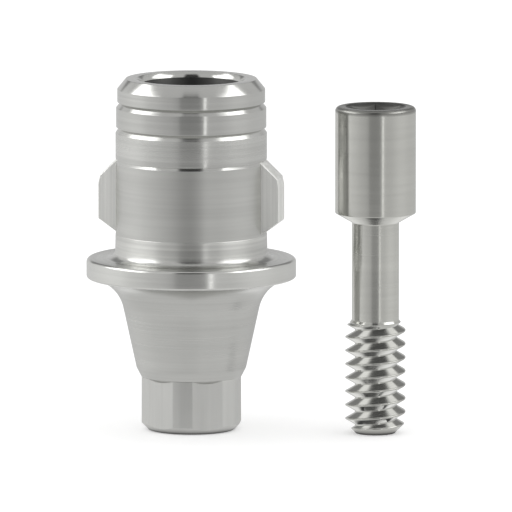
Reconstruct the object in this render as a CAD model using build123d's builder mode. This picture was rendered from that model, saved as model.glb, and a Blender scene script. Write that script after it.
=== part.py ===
from build123d import *
from math import cos, radians, sin, tan
import os

os.makedirs("parts", exist_ok=True)

# Dental abutment: a turned titanium base and the screw that holds it to the implant.
# The origin is the centre of the hexagon's end face. The base stands on that face, +Z runs up
# its axis, and the screw stands beside it in +X. All sizes are in millimetres.

# Placing
base_turn = -10.0  # turn of the base about its own axis, in degrees
screw_x = 4.7  # distance from the base axis to the screw axis
screw_y = -0.72

# Hexagon that stops the base from turning in the implant
hex_flats = 2.44
hex_turned_radius = 1.285  # the corners are turned down to this radius
hex_height = 1.385
hex_end_radius = 1.1  # where the turned end chamfer meets the end face
hex_end_angle = 45.0  # of that chamfer, in degrees

# Sealing cone above the hexagon
lead_step = 0.008  # how far the lead stands out from the turned corners
lead_height = 0.215
lead_overlap = 0.1  # how far the cone piece reaches into the hexagon
cone_start_radius = 1.403
cone_height = 1.53
cone_half_angle = 12.3  # in degrees

# Flange that carries the edge of the crown
flange_radius = 2.68
flange_thickness = 0.505
flange_underside_width = 0.1  # from the end of the cone's sweep to the flange's side
flange_sweep_height = 0.785
flange_top_chamfer = 0.07
flange_bottom_chamfer = 0.04

# Chimney that the crown is cemented on
chimney_radius = 1.928
foot_fillet = 0.24
foot_step_height = 0.625  # from the flange top to the fine step in the chimney
foot_step = 0.008
foot_flare = 0.008  # how much the foot widens from the step down to the fillet
band_three_radius = 1.934
band_two_radius = 1.92
band_one_radius = 1.89
groove_three_height = 2.55  # height of each groove's upper edge above the flange top
groove_two_height = 3.37
groove_one_height = 4.016
groove_three_width = 0.09
groove_three_depth = 0.05
groove_width = 0.15
groove_depth = 0.1
chimney_height = 4.61
rim_chamfer_width = 0.215
rim_chamfer_height = 0.265

# Side lugs that stop the crown from turning
lug_radius = 2.377
lug_thickness = 0.86
lug_bottom_height = 1.015  # where the outer face starts above the flange top
lug_top_height = 2.11
lug_bottom_slope_height = 0.33
lug_shoulder_height = 0.2  # the outer face leans in over this height below the top slope
lug_shoulder_inset = 0.045
lug_root = 0.45  # how far the lugs reach into the chimney wall

# Bore for the screw, from the top down
access_radius = 1.265
access_chamfer = 0.13
head_clearance = 0.07
access_step_height = 5.9
access_step_angle = 45.0  # in degrees from the axis
seat_height = 2.9
through_clearance = 0.055

# Screw
head_radius = 1.03
head_height = 2.73
head_edge_fillet = 0.115
seat_angle = 60.0  # half angle of the seat cone, in degrees
shank_step = 0.077  # how far the shank stands out over the thread core
shank_length = 2.505
socket_flats = 1.25
socket_depth = 1.2
socket_drill_inset = 0.02  # the drill is this much smaller than the socket's flats
socket_tip_angle = 60.0  # half angle of the drilled floor, in degrees
socket_mouth_chamfer = 0.05

# Thread of the screw, right-handed
thread_radius = 0.77
thread_pitch = 0.35
thread_depth = 0.245
thread_crest_width = 0.03
thread_flank_angle = 30.0  # in degrees from the plane across the axis
thread_length = 2.92  # from the tip to the plain shank
thread_phase = 0.2  # height of the lowest crest on the +X side
thread_overlap = 0.03  # how far the ridge goes into the core
tip_radius = 0.5
thread_root_gap = 0.002  # least distance between two turns of the ridge
runout_height = 0.18
runout_inset = 0.15  # how far the run-out cone ends inside the shank
collar_step = 0.048  # how far the low collar above the thread stands out over the shank
collar_chamfer = 0.06  # height of the cone from the collar to the shank
collar_lead = 0.16  # height of the cone from the thread core to the collar
collar_lead_inset = 0.05  # how far that cone starts inside the core

# Heights worked out from the sizes above
cone_start = hex_height + lead_height
cone_top = cone_start + cone_height
cone_top_radius = cone_start_radius + cone_height * tan(radians(cone_half_angle))
flange_bottom = cone_top + flange_sweep_height
flange_top = flange_bottom + flange_thickness
step_z = flange_top + foot_step_height
groove_three = flange_top + groove_three_height
groove_two = flange_top + groove_two_height
groove_one = flange_top + groove_one_height
base_top = flange_top + chimney_height
lug_bottom = flange_top + lug_bottom_height
lug_top = flange_top + lug_top_height
lug_reach = lug_radius - chimney_radius
lead_radius = hex_turned_radius + lead_step
foot_radius = chimney_radius + foot_step + foot_flare

# The base is drawn on planes that are turned together about its axis.
base_plane = Plane.XY.rotated((0, 0, base_turn))
base_side = Plane(
    origin=(0, 0, 0),
    x_dir=(cos(radians(base_turn)), sin(radians(base_turn)), 0),
    z_dir=(sin(radians(base_turn)), -cos(radians(base_turn)), 0),
)

# Lugs: a turned ring, cut down to two opposite fins with parallel sides.
with BuildPart() as lugs:
    with BuildSketch(base_side):
        with BuildLine():
            Polyline(
                (chimney_radius - lug_root, lug_bottom - lug_bottom_slope_height),
                (chimney_radius, lug_bottom - lug_bottom_slope_height),
                (lug_radius, lug_bottom),
                (lug_radius, lug_top - lug_shoulder_height),
                (lug_radius - lug_shoulder_inset, lug_top),
                (chimney_radius, lug_top + lug_reach - lug_shoulder_inset),
                (chimney_radius - lug_root, lug_top + lug_reach - lug_shoulder_inset),
                close=True,
            )
        make_face()
    revolve(axis=Axis.Z)
    with BuildSketch(base_plane):
        Rectangle(3 * lug_radius, lug_thickness)
    extrude(amount=base_top, mode=Mode.INTERSECT)

# Hexagon milled on a turned blank, which rounds its corners and gives the chamfer at its end
hex_end_rise = (hex_turned_radius - hex_end_radius) / tan(radians(hex_end_angle))
with BuildPart() as hexagon:
    with BuildSketch(base_plane):
        RegularPolygon(hex_flats / 2, 6, major_radius=False, rotation=30)
    extrude(amount=hex_height)
    with BuildSketch(base_side):
        with BuildLine():
            Polyline(
                (0, 0),
                (hex_end_radius, 0),
                (hex_turned_radius, hex_end_rise),
                (hex_turned_radius, hex_height),
                (0, hex_height),
                close=True,
            )
        make_face()
    revolve(axis=Axis.Z, mode=Mode.INTERSECT)

with BuildPart() as base:
    # Turned outside: lead, cone, sweep to the flange, flange, chimney and grooves
    with BuildSketch(base_side):
        with BuildLine():
            Polyline(
                (0, hex_height / 2),
                (lead_radius - lead_overlap, hex_height / 2),
                (lead_radius - lead_overlap, hex_height - lead_overlap),
                (lead_radius, hex_height),
                (cone_start_radius, cone_start),
                (cone_top_radius, cone_top),
            )
            TangentArc(
                (cone_top_radius, cone_top),
                (flange_radius - flange_underside_width, flange_bottom),
                tangent=(sin(radians(cone_half_angle)), cos(radians(cone_half_angle))),
            )
            Polyline(
                (flange_radius - flange_underside_width, flange_bottom),
                (flange_radius - flange_bottom_chamfer, flange_bottom),
                (flange_radius, flange_bottom + flange_bottom_chamfer),
                (flange_radius, flange_top - flange_top_chamfer),
                (flange_radius - flange_top_chamfer, flange_top),
                (foot_radius + foot_fillet, flange_top),
            )
            RadiusArc(
                (foot_radius + foot_fillet, flange_top),
                (foot_radius, flange_top + foot_fillet),
                foot_fillet,
            )
            Polyline(
                (foot_radius, flange_top + foot_fillet),
                (chimney_radius + foot_step, step_z - foot_step),
                (chimney_radius, step_z),
                (chimney_radius, groove_three - groove_three_width),
                (band_three_radius - groove_three_depth, groove_three),
                (band_three_radius, groove_three),
                (band_three_radius, groove_two - groove_width),
                (band_two_radius - groove_depth, groove_two),
                (band_two_radius, groove_two),
                (band_two_radius, groove_one - groove_width),
                (band_one_radius - groove_depth, groove_one),
                (band_one_radius, groove_one),
                (band_one_radius, base_top - rim_chamfer_height),
                (band_one_radius - rim_chamfer_width, base_top),
                (0, base_top),
                (0, hex_height / 2),
            )
        make_face()
    revolve(axis=Axis.Z)
    add(hexagon.part)
    add(lugs.part)
    # Stepped bore: access, head bore, conical seat and through hole
    head_bore = head_radius + head_clearance
    through_bore = thread_radius + through_clearance
    seat_drop = (head_bore - through_bore) / tan(radians(seat_angle))
    access_step = (access_radius - head_bore) / tan(radians(access_step_angle))
    with BuildSketch(base_side):
        with BuildLine():
            Polyline(
                (0, 0),
                (through_bore, 0),
                (through_bore, seat_height - seat_drop),
                (head_bore, seat_height),
                (head_bore, access_step_height),
                (access_radius, access_step_height + access_step),
                (access_radius, base_top - access_chamfer),
                (access_radius + access_chamfer, base_top),
                (0, base_top),
                close=True,
            )
        make_face()
    revolve(axis=Axis.Z, mode=Mode.SUBTRACT)

base.part.label = "abutment_base"
export_step(base.part, "parts/abutment_base.step")

# Heights of the screw, which stands on its tip
screw_axis = Axis((screw_x, screw_y, 0), (0, 0, 1))
screw_side = Plane(origin=(screw_x, screw_y, 0), x_dir=(1, 0, 0), z_dir=(0, -1, 0))
core_radius = thread_radius - thread_depth
shank_radius = core_radius + shank_step
collar_radius = shank_radius + collar_step
blank_radius = thread_radius + thread_overlap  # stays clear of the crests
flank_width = (thread_depth + thread_overlap) * tan(radians(thread_flank_angle))
ridge_foot = min(thread_crest_width / 2 + flank_width, (thread_pitch - thread_root_gap) / 2)
shank_top = thread_length + shank_length
head_bottom = shank_top + (head_radius - shank_radius) / tan(radians(seat_angle))
screw_top = head_bottom + head_height
collar_z = thread_length - collar_chamfer

# Thread: a helical ridge on a round core, trimmed by the tip chamfer and by the run-out
ridge_start = thread_phase - 2 * thread_pitch
ridge_height = thread_length + thread_pitch - ridge_start
with BuildPart() as thread:
    with BuildSketch(Plane((screw_x, screw_y, ridge_start - thread_pitch))):
        Circle(core_radius)
    extrude(amount=ridge_height + 2 * thread_pitch)
    with BuildLine() as ridge_path:
        Helix(thread_pitch, ridge_height, core_radius, center=(screw_x, screw_y, ridge_start))
    with BuildSketch(screw_side):
        with BuildLine():
            Polyline(
                (core_radius - thread_overlap, ridge_start - ridge_foot),
                (thread_radius, ridge_start - thread_crest_width / 2),
                (thread_radius, ridge_start + thread_crest_width / 2),
                (core_radius - thread_overlap, ridge_start + ridge_foot),
                close=True,
            )
        make_face()
    sweep(path=ridge_path.wires()[0], is_frenet=True)
    with BuildSketch(screw_side):
        with BuildLine():
            Polyline(
                (0, 0),
                (tip_radius, 0),
                (blank_radius, blank_radius - tip_radius),
                (blank_radius, thread_length - runout_height),
                (shank_radius - runout_inset, thread_length + thread_overlap),
                (0, thread_length + thread_overlap),
                close=True,
            )
        make_face()
    revolve(axis=screw_axis, mode=Mode.INTERSECT)

with BuildPart() as screw:
    # Turned outside of the shank, the seat cone and the head
    with BuildSketch(screw_side):
        with BuildLine():
            Polyline(
                (0, collar_z - collar_lead),
                (core_radius - collar_lead_inset, collar_z - collar_lead),
                (collar_radius, collar_z),
                (shank_radius, thread_length),
                (shank_radius, shank_top),
                (head_radius, head_bottom),
                (head_radius, screw_top - head_edge_fillet),
            )
            RadiusArc(
                (head_radius, screw_top - head_edge_fillet),
                (head_radius - head_edge_fillet, screw_top),
                -head_edge_fillet,
            )
            Polyline(
                (head_radius - head_edge_fillet, screw_top),
                (0, screw_top),
                (0, collar_z - collar_lead),
            )
        make_face()
    revolve(axis=screw_axis)
    add(thread.part)
    # Hexagon socket with a drilled floor and a small mouth chamfer
    with BuildSketch(Plane((screw_x, screw_y, screw_top))):
        RegularPolygon(socket_flats / 2, 6, major_radius=False)
    extrude(amount=-socket_depth, mode=Mode.SUBTRACT)
    socket_corner = socket_flats / 2 / cos(radians(30))
    drill_radius = socket_flats / 2 - socket_drill_inset
    drill_start = screw_top - socket_mouth_chamfer - (socket_corner - drill_radius)
    with BuildSketch(screw_side):
        with BuildLine():
            Polyline(
                (0, screw_top),
                (socket_corner + socket_mouth_chamfer, screw_top),
                (socket_corner, screw_top - socket_mouth_chamfer),
                (drill_radius, drill_start),
                (drill_radius, screw_top - socket_depth),
                (0, screw_top - socket_depth - drill_radius / tan(radians(socket_tip_angle))),
                close=True,
            )
        make_face()
    revolve(axis=screw_axis, mode=Mode.SUBTRACT)

screw.part.label = "abutment_screw"
export_step(screw.part, "parts/abutment_screw.step")
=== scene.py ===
import math

import bmesh
import bpy
import numpy as np
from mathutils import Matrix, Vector


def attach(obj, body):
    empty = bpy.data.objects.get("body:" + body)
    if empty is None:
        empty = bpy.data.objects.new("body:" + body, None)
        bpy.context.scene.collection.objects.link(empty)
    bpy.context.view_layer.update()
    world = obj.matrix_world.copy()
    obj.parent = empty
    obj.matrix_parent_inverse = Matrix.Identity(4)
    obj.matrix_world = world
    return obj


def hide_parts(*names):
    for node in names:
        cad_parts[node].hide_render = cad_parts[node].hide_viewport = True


# Looks of the dental abutment: the same turned forms as the solids, cut finer, with softened
# edges, in satin titanium. Profiles are in millimetres, from the same sizes as the part's source,
# as points of radius and height.
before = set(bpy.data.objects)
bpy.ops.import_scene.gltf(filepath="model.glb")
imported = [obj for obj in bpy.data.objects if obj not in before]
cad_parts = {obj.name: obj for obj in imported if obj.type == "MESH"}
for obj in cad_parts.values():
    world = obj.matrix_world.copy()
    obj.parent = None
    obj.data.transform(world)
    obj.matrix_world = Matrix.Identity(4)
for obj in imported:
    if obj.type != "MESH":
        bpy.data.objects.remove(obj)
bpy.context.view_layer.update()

MM = 0.001
BASE_TURN = math.radians(-10.0)  # of the hexagon and the lugs, seen from above
SCREW = (4.7, -0.72)  # axis of the screw
AROUND = 240  # steps round each turned form
EDGE = 0.012  # softening of the edges that have no rounding of their own
TUCK = 0.1  # how far the lead reaches down into the hexagon, out of sight


def arc(a, b, centre, steps):
    """Points from a to b round a centre, both ends included."""
    t0 = math.atan2(a[1] - centre[1], a[0] - centre[0])
    t1 = math.atan2(b[1] - centre[1], b[0] - centre[0])
    t1 = t0 + (t1 - t0 + math.pi) % (2 * math.pi) - math.pi
    r = math.hypot(a[0] - centre[0], a[1] - centre[1])
    return [(centre[0] + r * math.cos(t0 + (t1 - t0) * i / steps),
             centre[1] + r * math.sin(t0 + (t1 - t0) * i / steps)) for i in range(steps + 1)]


def tangent_arc(p, direction, q, steps):
    """Arc from p, leaving along a direction, to q."""
    d = Vector(direction).normalized()
    n = Vector((d[1], -d[0]))
    w = Vector(q) - Vector(p)
    r = w.length_squared / (2 * w.dot(n))
    return arc(p, q, Vector(p) + n * r, steps)


def soften(points, edge, steps=3):
    """The profile with each corner rounded a little, so that the edges catch the light.
    The size is a number or depends on the corner."""
    shortest, flattest, share = 1e-6, 0.2, 0.42
    out = [points[0]]
    for i in range(1, len(points) - 1):
        p, q, r = (Vector(points[i - 1]), Vector(points[i]), Vector(points[i + 1]))
        u, v = p - q, r - q
        lu, lv = u.length, v.length
        if lu < shortest or lv < shortest:
            out.append(tuple(q))
            continue
        u, v = u / lu, v / lv
        turn = math.pi - math.acos(max(-1.0, min(1.0, u.dot(v))))
        if turn < flattest:
            out.append(tuple(q))
            continue
        size = edge(q) if callable(edge) else edge
        cut = min(size * math.tan(turn / 2), share * lu, share * lv)
        a, b = q + u * cut, q + v * cut
        for k in range(steps + 1):
            t = k / steps
            out.append(tuple(a * (1 - t) ** 2 + q * 2 * t * (1 - t) + b * t ** 2))
    out.append(points[-1])
    return out


def finish_mesh(name, bm, materials):
    bmesh.ops.recalc_face_normals(bm, faces=bm.faces)
    mesh = bpy.data.meshes.new(name)
    bm.to_mesh(mesh)
    bm.free()
    for material in materials:
        mesh.materials.append(material)
    for p in mesh.polygons:
        p.use_smooth = True
    obj = bpy.data.objects.new(name, mesh)
    bpy.context.scene.collection.objects.link(obj)
    return obj


def turned(name, profile, metals, centre=(0.0, 0.0), turn=0.0, angles=None, closed=False, inner=0):
    """A mesh swept round a vertical axis. The profile may depend on the angle, with the same
    count of points. The last rows of faces, as many as inner says, get the second material."""
    bm = bmesh.new()
    rings = []
    angles = angles or [2 * math.pi * j / AROUND for j in range(AROUND)]
    around = len(angles)
    for t in angles:
        points = profile(t) if callable(profile) else profile
        rings.append([(r, z, t + turn) for r, z in points])
    count = len(rings[0])
    grid = []
    for i in range(count):
        if all(ring[i][0] < 1e-6 for ring in rings):  # a point on the axis
            v = bm.verts.new((centre[0] * MM, centre[1] * MM, rings[0][i][1] * MM))
            grid.append([v] * around)
        else:
            grid.append([bm.verts.new(((centre[0] + ring[i][0] * math.cos(ring[i][2])) * MM,
                                       (centre[1] + ring[i][0] * math.sin(ring[i][2])) * MM,
                                       ring[i][1] * MM)) for ring in rings])
    last = count if closed else count - 1
    for i in range(last):
        a, b = grid[i], grid[(i + 1) % count]
        for j in range(around):
            k = (j + 1) % around
            corners = []
            for v in (a[j], a[k], b[k], b[j]):
                if v not in corners:
                    corners.append(v)
            if len(corners) > 2:
                face = bm.faces.new(corners)
                if i >= last - inner:
                    face.material_index = 1
    return finish_mesh(name, bm, metals)


def join(objects, name):
    """One object from several. Its shells overlap, as a weld would."""
    for o in bpy.context.selected_objects:
        o.select_set(False)
    for o in objects:
        o.select_set(True)
    bpy.context.view_layer.objects.active = objects[0]
    bpy.ops.object.join()
    obj = bpy.context.view_layer.objects.active
    obj.name = name
    obj.data.name = name
    weigh = obj.modifiers.new("face_normals", "WEIGHTED_NORMAL")
    weigh.mode = "FACE_AREA"
    weigh.weight = 100
    return obj


# Columns of a finish table. Each row holds, from its height in millimetres up: roughness, how
# much longer the gloss is one way than the other, tone, which lightens or darkens whole zones as
# painted light and painted shade, and how strongly the tool marks show.
HEIGHT, ROUGHNESS, DRAWN_OUT, PAINTED_LIGHT_TONE, MARKS = range(5)
FINISH_TOP = 9.1  # height that the tables reach
FINISH_BORDER = 0.012  # half the height over which one row goes over into the next
GRAIN, GRAIN_DEPTH = 0.35, 0.000002  # strength and depth in metres of the bump
ROUGHNESS_SPREAD = 0.15
STREAK = 0.05  # how far the wide streaks change the tone


def ramp(nt, source, steps):
    """Values that change at stated heights in millimetres, with narrow borders."""
    scale = nt.nodes.new("ShaderNodeMath")
    scale.operation = "MULTIPLY"
    scale.inputs[1].default_value = 1.0 / (FINISH_TOP * MM)
    nt.links.new(source, scale.inputs[0])
    node = nt.nodes.new("ShaderNodeValToRGB")
    node.color_ramp.interpolation = "LINEAR"
    stops = [(0.0, steps[0][1])]
    for (_, value), (z_next, value_next) in zip(steps, steps[1:]):
        stops += [(z_next - FINISH_BORDER, value), (z_next + FINISH_BORDER, value_next)]
    for n, (z, value) in enumerate(stops):
        place = min(1.0, max(0.0, z / FINISH_TOP))
        stop = node.color_ramp.elements[0] if n == 0 else node.color_ramp.elements.new(place)
        stop.position = place
        stop.color = (value, value, value, 1.0)
    node.color_ramp.elements.remove(node.color_ramp.elements[-1])
    nt.links.new(scale.outputs[0], node.inputs[0])
    return node.outputs["Color"]


def metal(name, color, finish, upright=False, centre=(0.0, 0.0)):
    """Turned titanium, or milled if upright. Finish is a table with the columns above."""
    mat = bpy.data.materials.new(name)
    mat.use_nodes = True
    nt = mat.node_tree
    shader = nt.nodes["Principled BSDF"]
    shader.inputs["Metallic"].default_value = 1.0
    shader.inputs["Anisotropic Rotation"].default_value = 0.25
    tangent = nt.nodes.new("ShaderNodeTangent")
    tangent.direction_type = "RADIAL"
    tangent.axis = "Z"
    nt.links.new(tangent.outputs[0], shader.inputs["Tangent"])
    place = nt.nodes.new("ShaderNodeTexCoord")
    split = nt.nodes.new("ShaderNodeSeparateXYZ")
    nt.links.new(place.outputs["Object"], split.inputs[0])

    def level(column):
        return ramp(nt, split.outputs["Z"], [(row[HEIGHT], row[column]) for row in finish])

    def math_node(kind, a, b, c=None):
        node = nt.nodes.new("ShaderNodeMath")
        node.operation = kind
        for n, v in enumerate((a, b, c)):
            if v is None:
                continue
            if isinstance(v, (int, float)):
                node.inputs[n].default_value = v
            else:
                nt.links.new(v, node.inputs[n])
        return node.outputs[0]

    # Turned: the third coordinate runs out from the axis and up, so that the marks are rings
    # on flats and on walls.
    apart = nt.nodes.new("ShaderNodeVectorMath")
    apart.operation = "SUBTRACT"
    apart.inputs[1].default_value = (centre[0] * MM, centre[1] * MM, 0.0)
    nt.links.new(place.outputs["Object"], apart.inputs[0])
    flat = nt.nodes.new("ShaderNodeVectorMath")
    flat.operation = "MULTIPLY"
    flat.inputs[1].default_value = (1.0, 1.0, 0.0)
    nt.links.new(apart.outputs[0], flat.inputs[0])
    reach = nt.nodes.new("ShaderNodeVectorMath")
    reach.operation = "LENGTH"
    nt.links.new(flat.outputs[0], reach.inputs[0])
    path = nt.nodes.new("ShaderNodeCombineXYZ")
    nt.links.new(split.outputs["X"], path.inputs["X"])
    nt.links.new(split.outputs["Y"], path.inputs["Y"])
    nt.links.new(math_node("ADD", reach.outputs["Value"], split.outputs["Z"]), path.inputs["Z"])

    def streaks(low, high, detail):
        """Noise drawn out along the tool's path: round the axis when turned, up and down when
        milled. Low and high are its cycles to the metre along the path and across it."""
        scale = nt.nodes.new("ShaderNodeMapping")
        scale.inputs["Scale"].default_value = (high, high, low) if upright else (low, low, high)
        source = place if upright else path
        nt.links.new(source.outputs["Object" if upright else 0], scale.inputs["Vector"])
        noise = nt.nodes.new("ShaderNodeTexNoise")
        noise.inputs["Scale"].default_value = 1.0
        noise.inputs["Detail"].default_value = detail
        nt.links.new(scale.outputs[0], noise.inputs["Vector"])
        return math_node("SUBTRACT", noise.outputs["Fac"], 0.5)

    fine = streaks(low=300.0, high=42000.0, detail=2.0)
    wide = streaks(low=250.0, high=2500.0, detail=3.0)
    marks = streaks(low=160.0, high=11000.0, detail=1.0)
    tone = math_node("MULTIPLY_ADD", wide, 4 * STREAK, 1.0)
    tone = math_node("ADD", tone, math_node("MULTIPLY", marks, level(MARKS)))
    # The zone levels of the tone column: painted light and painted shade over the real streaks and
    # marks.
    tone = math_node("MULTIPLY", tone, level(PAINTED_LIGHT_TONE))
    paint = nt.nodes.new("ShaderNodeVectorMath")
    paint.operation = "SCALE"
    paint.inputs[0].default_value = color
    nt.links.new(tone, paint.inputs["Scale"])
    nt.links.new(paint.outputs[0], shader.inputs["Base Color"])
    rough = math_node("MULTIPLY_ADD", fine, ROUGHNESS_SPREAD, level(ROUGHNESS))
    nt.links.new(rough, shader.inputs["Roughness"])
    drawn_out = {row[DRAWN_OUT] for row in finish}
    if len(drawn_out) == 1:
        shader.inputs["Anisotropic"].default_value = drawn_out.pop()
    else:
        nt.links.new(level(DRAWN_OUT), shader.inputs["Anisotropic"])
    bump = nt.nodes.new("ShaderNodeBump")
    bump.inputs["Strength"].default_value = GRAIN
    bump.inputs["Distance"].default_value = GRAIN_DEPTH
    nt.links.new(fine, bump.inputs["Height"])
    nt.links.new(bump.outputs[0], shader.inputs["Normal"])
    return mat


base_metal = metal("base_titanium_turned", (0.55, 0.551, 0.531), (
    (0.0, 0.3, 0.3, 1.03, 0.1),  # lead, cone and sweep
    (3.9, 0.19, 0.6, 1.19, 0.1),  # flange edge, lightened as painted light
    (4.4, 0.2, 0.8, 1.0, 0.5),  # flange top
    (4.55, 0.36, 0.9, 1.19, 0.5),  # foot of the chimney, lightened as a painted highlight
    (5.045, 0.39, 0.1, 1.02, 0.15),  # chimney wall
    (6.88, 0.17, 0.7, 1.0, 0.2),  # lowest groove
    (7.07, 0.26, 0.7, 1.07, 0.3),  # band above it
    (7.79, 0.15, 0.7, 1.0, 0.2)))  # upper bands and rim
milled_metal = metal("base_titanium_milled", (0.66, 0.661, 0.64), (
    (0.0, 0.52, 0.0, 0.97, 0.05),  # hexagon
    (3.0, 0.5, 0.0, 1.36, 0.3)), upright=True)  # lugs, lightened as painted light
# Painted shade: the bore's walls are near black, darkest near the mouth and lighter further down.
bore_painted_shade_metal = metal("base_titanium_bored_painted_shade", (0.06, 0.06, 0.058), (
    (0.0, 0.35, 0.0, 4.0, 0.1),
    (6.0, 0.35, 0.0, 3.4, 0.1),
    (7.0, 0.38, 0.0, 2.6, 0.1),
    (7.6, 0.4, 0.0, 1.9, 0.1),
    (8.1, 0.4, 0.0, 1.3, 0.1),
    (8.5, 0.4, 0.0, 1.0, 0.1)))
screw_metal = metal("screw_titanium_turned", (0.55, 0.55, 0.518), (
    (0.0, 0.14, 0.3, 1.0, 0.05),  # thread
    (2.9, 0.24, 0.6, 1.09, 0.1),  # shank, lightened as painted light
    (5.6, 0.2, 0.6, 1.04, 0.05),  # head
    (8.28, 0.3, 0.0, 0.5, 0.05)), centre=SCREW)  # upper edge and top, darkened as painted shade
# Painted shade: the socket and the bevel at its mouth are near black.
socket_painted_shade_metal = metal("screw_titanium_socket_painted_shade", (0.08, 0.08, 0.076), (
    (0.0, 0.35, 0.0, 1.0, 0.1),
    (8.0, 0.35, 0.0, 1.0, 0.1)))


# Sizes of the base, from the bottom up
HEX_FLATS, HEX_TURNED, HEX_HEIGHT, HEX_END = 2.44, 1.285, 1.385, 1.1
HEX_ROUNDING = 0.07  # at the end of the hexagon
HEX_SINK = 0.01  # how far the top of its shell lies below the lead
HEX_LID_R, HEX_LID = 1.0, 0.05  # radius and drop where the shell closes, out of sight
LEAD_R, CONE_R, CONE_Z = 1.293, 1.403, 1.6
CONE_TOP = 3.13
CONE_TAN = math.tan(math.radians(12.3))
CONE_TOP_R = CONE_R + (CONE_TOP - CONE_Z) * CONE_TAN
FLANGE_R, FLANGE_Z, FLANGE_TOP = 2.68, 3.915, 4.42
SWEEP_END_R = FLANGE_R - 0.1
EDGE_LOW, EDGE_HIGH = 0.06, 0.1
CHIMNEY_R, FOOT, STEP, FLARE = 1.928, 0.24, 0.008, 0.008
STEP_Z = 5.045
# Height, half width, depth, and the radius of the wall below and above
GROOVES = ((6.97, 0.09, 0.05, 1.928, 1.934),
           (7.79, 0.15, 0.1, 1.934, 1.92),
           (8.436, 0.15, 0.1, 1.92, 1.89))
RIM_R = GROOVES[-1][4]
RIM_BEVEL, RIM_BEVEL_HEIGHT = 0.215, 0.265
TOP = 9.03
THROUGH, HEAD_BORE, ACCESS, MOUTH = 0.825, 1.1, 1.265, 0.13
ACCESS_END, HEAD_BORE_TOP = 6.065, 5.9
SEAT, SEAT_DROP = 2.9, 0.159
BORE_END, BORE_END_R = 0.4, 0.95  # where the upper shell's bore ends, inside the hexagon
BORE_BEHIND = 0.0005  # how far the hexagon's own bore lies behind it

LUG_R, LUG_HALF, LUG_EDGE = 2.377, 0.43, 0.02
LUG_LOW, LUG_TOP = 5.435, 6.53
LUG_LOW_SLOPE, LUG_TOP_SLOPE = 0.352, LUG_R - CHIMNEY_R - 0.015  # height of the slanted faces
LUG_BREAK, LUG_BREAK_HEIGHT = 0.045, 0.2
LUG_SINK, LUG_ROOT_R, LUG_ROOT_DROP = 0.03, 1.6, 0.33  # inside the wall, out of sight
LUG_STEPS = 14


def base_profile():
    """Outside from the lead up to the rim, then down the bore, and how many of its rows are
    the bore."""
    lead = soften([(LEAD_R - TUCK, HEX_HEIGHT - TUCK), (LEAD_R, HEX_HEIGHT), (CONE_R, CONE_Z),
                   (CONE_TOP_R, CONE_TOP)], EDGE)
    sweep = tangent_arc((CONE_TOP_R, CONE_TOP), (CONE_TAN, 1.0), (SWEEP_END_R, FLANGE_Z), 20)
    flange = arc((FLANGE_R - EDGE_LOW, FLANGE_Z), (FLANGE_R, FLANGE_Z + EDGE_LOW),
                 (FLANGE_R - EDGE_LOW, FLANGE_Z + EDGE_LOW), 6)
    flange += arc((FLANGE_R, FLANGE_TOP - EDGE_HIGH), (FLANGE_R - EDGE_HIGH, FLANGE_TOP),
                  (FLANGE_R - EDGE_HIGH, FLANGE_TOP - EDGE_HIGH), 10)
    foot_r = CHIMNEY_R + STEP + FLARE
    foot = arc((foot_r + FOOT, FLANGE_TOP), (foot_r, FLANGE_TOP + FOOT),
               (foot_r + FOOT, FLANGE_TOP + FOOT), 14)
    wall = [foot[-1], (CHIMNEY_R + STEP, STEP_Z - STEP), (CHIMNEY_R, STEP_Z)]
    for z, width, depth, below, above in GROOVES:
        wall += [(below, z - width), (above - depth, z), (above, z)]
    wall += [(RIM_R, TOP - RIM_BEVEL_HEIGHT), (RIM_R - RIM_BEVEL, TOP), (ACCESS + MOUTH, TOP),
             (ACCESS, TOP - MOUTH)]
    bore = soften([(ACCESS, TOP - MOUTH), (ACCESS, ACCESS_END), (HEAD_BORE, HEAD_BORE_TOP),
                   (HEAD_BORE, SEAT), (THROUGH, SEAT - SEAT_DROP), (THROUGH, BORE_END),
                   (BORE_END_R, BORE_END), (BORE_END_R, HEX_HEIGHT - TUCK)], EDGE)[1:]
    outside = lead[:-1] + sweep + flange + foot + soften(wall, EDGE)[1:]
    return outside + bore, len(bore) + 1


def hex_angles():
    """Angles round the hexagon, with one at each edge between a flat and a turned corner."""
    flat_steps, corner_steps = 40, 24
    edge = math.acos(HEX_FLATS / 2 / HEX_TURNED)
    corner = math.pi / 3 - 2 * edge
    out = []
    for k in range(6):
        middle = k * math.pi / 3
        out += [middle - edge + 2 * edge * i / flat_steps for i in range(flat_steps)]
        out += [middle + edge + corner * i / corner_steps for i in range(corner_steps)]
    return out


def from_flat(t):
    """The angle from the middle of the nearest of six flats."""
    return (t + math.pi / 6) % (math.pi / 3) - math.pi / 6


def hex_edge(corner):
    """A larger rounding at the outer corner of the end."""
    return HEX_ROUNDING if corner[1] == 0.0 and corner[0] > HEX_LID_R else EDGE


def hex_profile(t):
    """Up the bore's side, across the end, and up the flats, closed under the lead."""
    r = min(HEX_FLATS / 2 / math.cos(from_flat(t)), HEX_TURNED)
    top = HEX_HEIGHT - HEX_SINK
    hole = THROUGH + BORE_BEHIND
    return soften([(HEX_LID_R, top - HEX_LID), (hole, top - HEX_LID), (hole, 0.0), (HEX_END, 0.0),
                   (r, r - HEX_END), (r, top), (HEX_LID_R, top), (HEX_LID_R, top - HEX_LID)],
                  hex_edge, 4)


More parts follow.
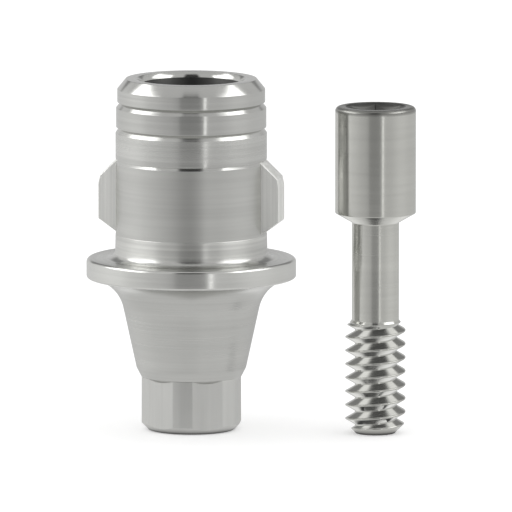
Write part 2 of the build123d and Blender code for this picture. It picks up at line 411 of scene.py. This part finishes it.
def lug(side):
    """One fin with parallel sides and a turned outer face."""
    half, edge = LUG_HALF, LUG_EDGE
    outline = soften([(LUG_ROOT_R, LUG_LOW - LUG_ROOT_DROP),
                      (CHIMNEY_R - LUG_SINK, LUG_LOW - LUG_LOW_SLOPE),
                      (LUG_R, LUG_LOW), (LUG_R, LUG_TOP - LUG_BREAK_HEIGHT),
                      (LUG_R - LUG_BREAK, LUG_TOP),
                      (CHIMNEY_R - LUG_SINK, LUG_TOP + LUG_TOP_SLOPE),
                      (LUG_ROOT_R, LUG_TOP + LUG_TOP_SLOPE)], edge)
    across = [-half, -half + 0.3 * edge, -half + edge]
    across += [-half + edge + (2 * half - 2 * edge) * k / LUG_STEPS for k in range(1, LUG_STEPS)]
    across += [half - edge, half - 0.3 * edge, half]
    t = BASE_TURN + (math.pi if side < 0 else 0.0)
    bm = bmesh.new()
    rows = []
    for r, z in outline:
        row = []
        for y in across:
            fall = max(0.0, abs(y) - (half - edge))
            rr = r - edge + math.sqrt(max(0.0, edge ** 2 - fall ** 2))
            x = math.sqrt(rr * rr - y * y)
            row.append(bm.verts.new(((x * math.cos(t) - y * math.sin(t)) * MM,
                                     (x * math.sin(t) + y * math.cos(t)) * MM, z * MM)))
        rows.append(row)
    for a, b in zip(rows, rows[1:] + rows[:1]):
        for j in range(len(a) - 1):
            bm.faces.new((a[j], a[j + 1], b[j + 1], b[j]))
    for j in (0, -1):
        bm.faces.new([row[j] for row in rows])
    return finish_mesh("lug", bm, [milled_metal])


profile, bore_rows = base_profile()
base = join([turned("base_turned", profile, [base_metal, bore_painted_shade_metal], turn=BASE_TURN, closed=True,
                    inner=bore_rows),
             turned("base_hexagon", hex_profile, [milled_metal], turn=BASE_TURN,
                    angles=hex_angles()),
             lug(1), lug(-1)], "abutment_base_turned")

# Sizes of the screw
HEAD_R, HEAD_EDGE, SHANK_R, CORE_R, THREAD_R = 1.03, 0.115, 0.602, 0.525, 0.77
PITCH, THREAD_TOP, TIP_R = 0.35, 2.92, 0.5
COLLAR_R, COLLAR_Z, COLLAR_HEIGHT = 0.65, THREAD_TOP - 0.06, 0.1143
SEAT_TAN = math.tan(math.radians(60))
SHANK_TOP = THREAD_TOP + 2.505
HEAD_BOTTOM = SHANK_TOP + (HEAD_R - SHANK_R) / SEAT_TAN
SCREW_TOP = HEAD_BOTTOM + 2.73
SHANK_ROUNDING, HEAD_ROUNDING = 0.05, 0.03  # at the lower and the upper end of the seat cone
SOCKET, SOCKET_DEPTH = 1.25, 1.2
SOCKET_BEVEL, DRILL_GAP = 0.05, 0.02

CREST, FLANK = 0.03, math.tan(math.radians(30))
THREAD_PHASE = 0.2
OVERLAP = 0.03  # how far the ridge reaches into the core, and past the ends of its run-out
RUNOUT, RUNOUT_INSET = 0.18, 0.15  # height of the run-out, and how far inside the shank it ends
RIDGE_STEPS, FLANK_STEPS = 160, 8
LOWEST = 0.002  # the ridge stays this far above the tip
HIDDEN = 0.004  # where it would lie in the core's surface it drops this far below it


def screw_edge(corner):
    """Larger roundings where the seat cone meets the shank and the head."""
    if abs(corner[1] - SHANK_TOP) < 0.001:
        return SHANK_ROUNDING
    if abs(corner[1] - HEAD_BOTTOM) < 0.001:
        return HEAD_ROUNDING
    return EDGE


def screw_profile(t):
    """From the tip up to the head, over its edge, and down the hexagon socket."""
    r = SOCKET / 2 / math.cos(from_flat(t))
    bevel_r = SOCKET / 2 / math.cos(math.pi / 6) + SOCKET_BEVEL
    drill = SOCKET / 2 - DRILL_GAP
    head = arc((HEAD_R, SCREW_TOP - HEAD_EDGE), (HEAD_R - HEAD_EDGE, SCREW_TOP),
               (HEAD_R - HEAD_EDGE, SCREW_TOP - HEAD_EDGE), 12)
    outside = soften([(0.0, 0.0), (TIP_R, 0.0), (CORE_R, CORE_R - TIP_R),
                      (CORE_R, COLLAR_Z - COLLAR_HEIGHT), (COLLAR_R, COLLAR_Z),
                      (SHANK_R, THREAD_TOP), (SHANK_R, SHANK_TOP), (HEAD_R, HEAD_BOTTOM),
                      head[0]], screw_edge, 4)
    mouth = [(bevel_r, SCREW_TOP), (r, SCREW_TOP - (bevel_r - r))]
    floor_z = SCREW_TOP - SOCKET_DEPTH
    inside = [(r, floor_z), (drill, floor_z), (0.0, floor_z - drill / SEAT_TAN)]
    return outside + head[1:] + mouth + inside


def ridge_section():
    """The V of the thread, as heights and radii from the lower flank over the crest."""
    inner = CORE_R - OVERLAP
    half_foot = CREST / 2 + (THREAD_R - inner) * FLANK
    section = []
    for k in range(FLANK_STEPS):
        f = k / FLANK_STEPS
        section.append((-half_foot + f * (half_foot - CREST / 2), inner + f * (THREAD_R - inner)))
    section += [(-CREST / 2 - 0.004, THREAD_R - 0.0075), (-CREST / 2 + 0.003, THREAD_R - 0.0008),
                (0.0, THREAD_R)]
    return section + [(-h, r) for h, r in section[-2::-1]]


def thread_ridge():
    """The helical ridge: a V with a narrow crest, wound right-handed and trimmed at both ends."""
    section = ridge_section()
    start = THREAD_PHASE - 2 * PITCH
    turns = (THREAD_TOP + PITCH - start) / PITCH
    slope = (THREAD_R + OVERLAP - SHANK_R + RUNOUT_INSET) / (RUNOUT + OVERLAP)
    bm = bmesh.new()
    rows = []
    for j in range(int(turns * RIDGE_STEPS) + 1):
        t = 2 * math.pi * j / RIDGE_STEPS
        row = []
        for h, r in section:
            z = start + PITCH * j / RIDGE_STEPS + h
            if z > THREAD_TOP - RUNOUT:
                room = THREAD_R + OVERLAP - (z - THREAD_TOP + RUNOUT) * slope
            else:
                room = TIP_R + z
            z = min(max(z, LOWEST), THREAD_TOP + OVERLAP)
            if room < CORE_R + 0.001:
                room = min(room, CORE_R) - HIDDEN
            rr = max(0.05, min(r, room))
            row.append(bm.verts.new(((SCREW[0] + rr * math.cos(t)) * MM,
                                     (SCREW[1] + rr * math.sin(t)) * MM, z * MM)))
        rows.append(row)
    for a, b in zip(rows, rows[1:]):
        for j in range(len(a) - 1):
            bm.faces.new((a[j], a[j + 1], b[j + 1], b[j]))
    return finish_mesh("thread", bm, [screw_metal])


screw = join([turned("screw_turned", screw_profile, [screw_metal, socket_painted_shade_metal], centre=SCREW,
                     inner=4),
              thread_ridge()], "abutment_screw_turned")


for piece, main_metal, node, slot in ((base, base_metal, "abutment_base", "base_titanium"),
                                      (screw, screw_metal, "abutment_screw", "screw_titanium")):
    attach(piece, "root")
    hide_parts(node)
    for material_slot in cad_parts[node].material_slots:
        material_slot.material = main_metal
# The screw was photographed alone, so it doesn't show in the base.
screw.visible_glossy = False


# Floor: white, with the object's shadow. What it lacks to white is added for the camera alone.
FLOOR_HALF, FLOOR_Z = 2, -0.00001
FLOOR_GREY, FLOOR_GLOW = 0.8, 0.35


def floor_material():
    mat = bpy.data.materials.new("floor_white")
    mat.use_nodes = True
    nt = mat.node_tree
    nt.nodes.clear()
    out = nt.nodes.new("ShaderNodeOutputMaterial")
    matte = nt.nodes.new("ShaderNodeBsdfDiffuse")
    matte.inputs["Color"].default_value = (FLOOR_GREY, FLOOR_GREY, FLOOR_GREY, 1)
    glow = nt.nodes.new("ShaderNodeEmission")
    path = nt.nodes.new("ShaderNodeLightPath")
    gain = nt.nodes.new("ShaderNodeMath")
    gain.operation = "MULTIPLY"
    gain.inputs[1].default_value = FLOOR_GLOW
    nt.links.new(path.outputs["Is Camera Ray"], gain.inputs[0])
    nt.links.new(gain.outputs[0], glow.inputs["Strength"])
    both = nt.nodes.new("ShaderNodeAddShader")
    nt.links.new(matte.outputs[0], both.inputs[0])
    nt.links.new(glow.outputs[0], both.inputs[1])
    nt.links.new(both.outputs[0], out.inputs["Surface"])
    return mat


floor_mesh = bpy.data.meshes.new("floor")
floor_mesh.from_pydata([(-FLOOR_HALF, -FLOOR_HALF, 0), (FLOOR_HALF, -FLOOR_HALF, 0),
                        (FLOOR_HALF, FLOOR_HALF, 0), (-FLOOR_HALF, FLOOR_HALF, 0)],
                       [], [(0, 1, 2, 3)])
floor = bpy.data.objects.new("floor", floor_mesh)
bpy.context.scene.collection.objects.link(floor)
floor.location.z = FLOOR_Z
floor.visible_glossy = False
floor_mesh.materials.append(floor_material())

# Studio: a white world, and a shell with cards and soft boxes that only the metal sees
world = bpy.data.worlds.new("studio")
bpy.context.scene.world = world
world.use_nodes = True
world.node_tree.nodes["Background"].inputs["Color"].default_value = (1, 1, 1, 1)
world.node_tree.nodes["Background"].inputs["Strength"].default_value = 1.0

# Levels of the shell at the height of the object, by the angle from the camera's side, in degrees
AROUND_LEVELS = ((-180, 0.6), (-150, 0.75), (-126, 0.88), (-103, 0.97), (-85, 0.95), (-70, 0.8),
                 (-56, 0.73), (-42, 0.64), (-30, 0.59), (-20, 0.5), (-16, 0.35), (-3, 0.33),
                 (12, 0.35), (18, 0.5), (20.3, 1.5), (22.5, 1.5), (23.8, 0.68), (32, 0.65),
                 (45, 0.66), (58, 0.73), (72, 0.8), (88, 0.8), (107, 0.74), (131, 0.71),
                 (160, 0.6), (180, 0.6))
LEVEL_BELOW, LEVEL_ABOVE, LEVEL_CARD, LEVEL_BOX = 0.79, 0.68, 0.05, 3.0
SHELL_R, SHELL_CENTRE = 0.25, (0.0016, 0.0, 0.0045)
STEP_AZ, STEP_EL = 1.5, 3.0


def fade(value, low, high):
    return min(1.0, max(0.0, (value - low) / (high - low)))


def box(az, el, az_range, el_range, soft=4.0):
    """One inside a soft box of the shell, nought outside, with a soft border in degrees."""
    inside = fade(az, az_range[0] - soft, az_range[0])
    inside *= fade(-az, -az_range[1] - soft, -az_range[1])
    inside *= fade(el, el_range[0] - soft, el_range[0])
    return inside * fade(-el, -el_range[1] - soft, -el_range[1])


def surround(az, el):
    """Level of the shell in one direction."""
    back = 180 - abs(az)
    level = float(np.interp(az, [a for a, _ in AROUND_LEVELS], [b for _, b in AROUND_LEVELS]))
    level += (LEVEL_BELOW - level) * fade(-el, 18.0, 26.0)
    level += (LEVEL_ABOVE - level) * fade(el, 22.0, 34.0)
    level += (LEVEL_CARD - level) * box(az, el, (-20, 17), (30, 64))
    level += (LEVEL_BOX - level) * max(box(az, el, (-120, -64), (28, 48)),
                                       box(az, el, (57, 109), (32, 52)))
    # behind the object, where only the flanks of the thread and the undersides look
    level += (0.3 - level) * box(back, el, (-50, 32), (17, 42))
    level += (1.25 - level) * box(back, el, (17, 34), (45, 58), 2.0)
    level += (0.1 - level) * box(back, el, (-50, 30), (62, 76), 2.0)
    level += (0.12 - level) * box(back, el, (-50, 8), (-84, -46))
    level += (1.1 - level) * box(back, el, (8, 20), (-44, -30))
    return level


def glow_material():
    """Light as strong as the attribute glow says."""
    mat = bpy.data.materials.new("studio_shell")
    mat.use_nodes = True
    nt = mat.node_tree
    nt.nodes.clear()
    out = nt.nodes.new("ShaderNodeOutputMaterial")
    glow = nt.nodes.new("ShaderNodeEmission")
    level = nt.nodes.new("ShaderNodeAttribute")
    level.attribute_name = "glow"
    nt.links.new(level.outputs["Fac"], glow.inputs["Strength"])
    nt.links.new(glow.outputs[0], out.inputs["Surface"])
    return mat


def glow_mesh(name, rows, material):
    """A mesh from rows of closed rings, each point with its place in metres and its level."""
    bm = bmesh.new()
    layer = bm.verts.layers.float.new("glow")
    grid = []
    for row in rows:
        verts = []
        for place, value in row:
            v = bm.verts.new(place)
            v[layer] = value
            verts.append(v)
        grid.append(verts)
    for a, b in zip(grid, grid[1:]):
        for j in range(len(a)):
            k = (j + 1) % len(a)
            bm.faces.new((a[j], a[k], b[k], b[j]))
    return finish_mesh(name, bm, [material])


def shell_rows():
    rows = []
    for i in range(int(180 / STEP_EL) + 1):
        el = -90 + STEP_EL * i
        row = []
        for j in range(int(360 / STEP_AZ)):
            az = -180 + STEP_AZ * j
            e, a = math.radians(el), math.radians(az)
            row.append(((SHELL_CENTRE[0] + SHELL_R * math.cos(e) * math.sin(a),
                         SHELL_CENTRE[1] - SHELL_R * math.cos(e) * math.cos(a),
                         SHELL_CENTRE[2] + SHELL_R * math.sin(e)), surround(az, el)))
        rows.append(row)
    return rows


def contact_shadow_rows(centre, rings, steps=90, z=-0.005):
    """Painted contact shadow: the floor close round a foot, as the metal above it sees it, dark at
    the contact.
    """
    return [[(((centre[0] + r * math.cos(2 * math.pi * j / steps)) * MM,
               (centre[1] + r * math.sin(2 * math.pi * j / steps)) * MM, z * MM), value)
             for j in range(steps)] for r, value in rings]


metal_light = glow_material()
# Dark rings round the feet that only the metal sees: painted contact shadows.
BASE_CONTACT_SHADOW = ((1.0, 0.05), (1.12, 0.05), (1.17, 0.5), (1.25, LEVEL_BELOW))
SCREW_CONTACT_SHADOW = ((0.4, 0.05), (0.52, 0.1), (0.57, 0.5), (0.65, LEVEL_BELOW))
for name, rows in (("studio_shell", shell_rows()),
                   ("base_contact_shadow", contact_shadow_rows((0.0, 0.0), BASE_CONTACT_SHADOW)),
                   ("screw_contact_shadow", contact_shadow_rows(SCREW, SCREW_CONTACT_SHADOW))):
    obj = glow_mesh(name, rows, metal_light)
    for way in ("camera", "diffuse", "shadow", "transmission"):
        setattr(obj, "visible_" + way, False)

# Camera at the photograph's angle and scale
DISTANCE, LIFT = 0.4, math.radians(7.8)
FRAME_MM = 512 / 39.13  # width of the frame at the object
SENSOR = 36.0  # Blender's usual width, in millimetres
TARGET = Vector((1.653 * MM, 0.0, 4.454 * MM))
cam = bpy.data.cameras.new("camera")
cam_obj = bpy.data.objects.new("camera", cam)
bpy.context.scene.collection.objects.link(cam_obj)
bpy.context.scene.camera = cam_obj
cam.sensor_width = SENSOR
cam.lens = SENSOR * DISTANCE / (FRAME_MM * MM)
cam.clip_start = 0.01
cam.clip_end = 10.0
to_camera = Vector((0.0, -math.cos(LIFT), math.sin(LIFT)))
cam_obj.location = TARGET + to_camera * DISTANCE
cam_obj.rotation_mode = "QUATERNION"
cam_obj.rotation_quaternion = (-to_camera).to_track_quat("-Z", "Y")

bpy.context.scene.view_settings.view_transform = "Standard"
